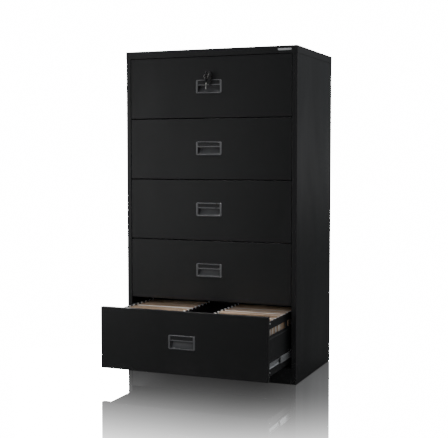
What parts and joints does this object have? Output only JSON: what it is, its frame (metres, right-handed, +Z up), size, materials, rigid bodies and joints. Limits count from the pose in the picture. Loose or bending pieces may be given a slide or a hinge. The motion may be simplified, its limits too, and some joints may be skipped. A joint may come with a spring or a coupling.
{
  "type": "lateral filing cabinet",
  "caption": "Wide black steel filing cabinet with stacked drawers on telescopic slides, recessed pulls with label slots, a gang lock with keys, and the bottom drawer open.",
  "frame": {"origin": "on the floor, under the middle of the whole object with its bottom drawer open", "axes": "+Z up; drawers open towards -Y; +X is to the right when facing the drawers"},
  "size_m": [0.917, 0.9484, 1.643],
  "materials": {
    "black_coat": "satin black powder coat, fine orange peel",
    "pull_plastic": "moulded, satin, edges worn lighter",
    "zinc": "bright zinc plate",
    "nickel": "nickel plated, lightly brushed",
    "key_steel": "nickel-silver blade, black plastic head",
    "foot_rubber": "black, slightly grained"
  },
  "bodies": {
    "cabinet": {"side_panel_left": "black_coat", "side_panel_right": "black_coat", "top_cap": "black_coat", "back_panel": "black_coat", "base_plinth": "black_coat", "foot_front_left": "foot_rubber", "foot_front_right": "foot_rubber", "foot_back_left": "foot_rubber", "foot_back_right": "foot_rubber", "slide_1_left_outer": "zinc", "slide_1_right_outer": "zinc", "slide_2_left_outer": "zinc", "slide_2_right_outer": "zinc", "slide_3_left_outer": "zinc", "slide_3_right_outer": "zinc", "slide_4_left_outer": "zinc", "slide_4_right_outer": "zinc", "slide_5_left_outer": "zinc", "slide_5_right_outer": "zinc"},
    "drawer_1": {"drawer_1_front": "black_coat", "drawer_1_box": "black_coat", "drawer_1_pull": "pull_plastic", "slide_1_left_inner": "zinc", "slide_1_right_inner": "zinc", "lock_housing": "nickel"},
    "runners_1": {"slide_1_left_middle": "zinc", "slide_1_right_middle": "zinc"},
    "drawer_2": {"drawer_2_front": "black_coat", "drawer_2_box": "black_coat", "drawer_2_pull": "pull_plastic", "slide_2_left_inner": "zinc", "slide_2_right_inner": "zinc"},
    "runners_2": {"slide_2_left_middle": "zinc", "slide_2_right_middle": "zinc"},
    "drawer_3": {"drawer_3_front": "black_coat", "drawer_3_box": "black_coat", "drawer_3_pull": "pull_plastic", "slide_3_left_inner": "zinc", "slide_3_right_inner": "zinc"},
    "runners_3": {"slide_3_left_middle": "zinc", "slide_3_right_middle": "zinc"},
    "drawer_4": {"drawer_4_front": "black_coat", "drawer_4_box": "black_coat", "drawer_4_pull": "pull_plastic", "slide_4_left_inner": "zinc", "slide_4_right_inner": "zinc"},
    "runners_4": {"slide_4_left_middle": "zinc", "slide_4_right_middle": "zinc"},
    "drawer_5": {"drawer_5_front": "black_coat", "drawer_5_box": "black_coat", "drawer_5_pull": "pull_plastic", "slide_5_left_inner": "zinc", "slide_5_right_inner": "zinc"},
    "runners_5": {"slide_5_left_middle": "zinc", "slide_5_right_middle": "zinc"},
    "lock_plug_and_key": {"lock_plug": "nickel", "key": "key_steel"},
    "spare_key": {"spare_key": "key_steel"},
    "lock_rod": {"lock_rod": "zinc"},
    "gang_lock_bar": {"gang_lock_bar": "zinc"}
  },
  "joints": [
    {"name": "drawer_1_slide", "type": "slide", "parent": "cabinet", "child": "drawer_1", "axis": [0, -1, 0], "range_m": [0, 0.5]},
    {"name": "runners_1_slide", "type": "slide", "parent": "cabinet", "child": "runners_1", "axis": [0, -1, 0], "range_m": [-0.0005, 0.2505]},
    {"name": "drawer_2_slide", "type": "slide", "parent": "cabinet", "child": "drawer_2", "axis": [0, -1, 0], "range_m": [0, 0.5]},
    {"name": "runners_2_slide", "type": "slide", "parent": "cabinet", "child": "runners_2", "axis": [0, -1, 0], "range_m": [-0.0005, 0.2505]},
    {"name": "drawer_3_slide", "type": "slide", "parent": "cabinet", "child": "drawer_3", "axis": [0, -1, 0], "range_m": [0, 0.5]},
    {"name": "runners_3_slide", "type": "slide", "parent": "cabinet", "child": "runners_3", "axis": [0, -1, 0], "range_m": [-0.0005, 0.2505]},
    {"name": "drawer_4_slide", "type": "slide", "parent": "cabinet", "child": "drawer_4", "axis": [0, -1, 0], "range_m": [0, 0.5]},
    {"name": "runners_4_slide", "type": "slide", "parent": "cabinet", "child": "runners_4", "axis": [0, -1, 0], "range_m": [-0.0005, 0.2505]},
    {"name": "drawer_5_slide", "type": "slide", "parent": "cabinet", "child": "drawer_5", "axis": [0, -1, 0], "range_m": [-0.335, 0.165]},
    {"name": "runners_5_slide", "type": "slide", "parent": "cabinet", "child": "runners_5", "axis": [0, -1, 0], "range_m": [-0.168, 0.083]},
    {"name": "gang_bar_lift", "type": "slide", "parent": "cabinet", "child": "gang_lock_bar", "axis": [0, 0, 1], "range_m": [0, 0.01]},
    {"name": "lock_rod_slide", "type": "slide", "parent": "drawer_1", "child": "lock_rod", "axis": [1, 0, 0], "range_m": [0, 0.01]},
    {"name": "key_turn", "type": "hinge", "parent": "drawer_1", "child": "lock_plug_and_key", "pos_m": [0, -0.13585, 1.5152], "axis": [0, -1, 0], "range_deg": [0, 90]},
    {"name": "spare_key_swing", "type": "hinge", "parent": "drawer_1", "child": "spare_key", "pos_m": [0, -0.17185, 1.5152], "axis": [0, 1, 0], "range_deg": [-50, 50]}
  ],
  "couplings": [
    {"joint": "runners_1_slide", "follows": "drawer_1_slide", "ratio": 0.5},
    {"joint": "runners_2_slide", "follows": "drawer_2_slide", "ratio": 0.5},
    {"joint": "runners_3_slide", "follows": "drawer_3_slide", "ratio": 0.5},
    {"joint": "runners_4_slide", "follows": "drawer_4_slide", "ratio": 0.5},
    {"joint": "runners_5_slide", "follows": "drawer_5_slide", "ratio": 0.5},
    {"joint": "lock_rod_slide", "follows": "gang_bar_lift", "ratio": 1},
    {"joint": "key_turn", "follows": "gang_bar_lift", "rad_per_m": 157.07}
  ]
}
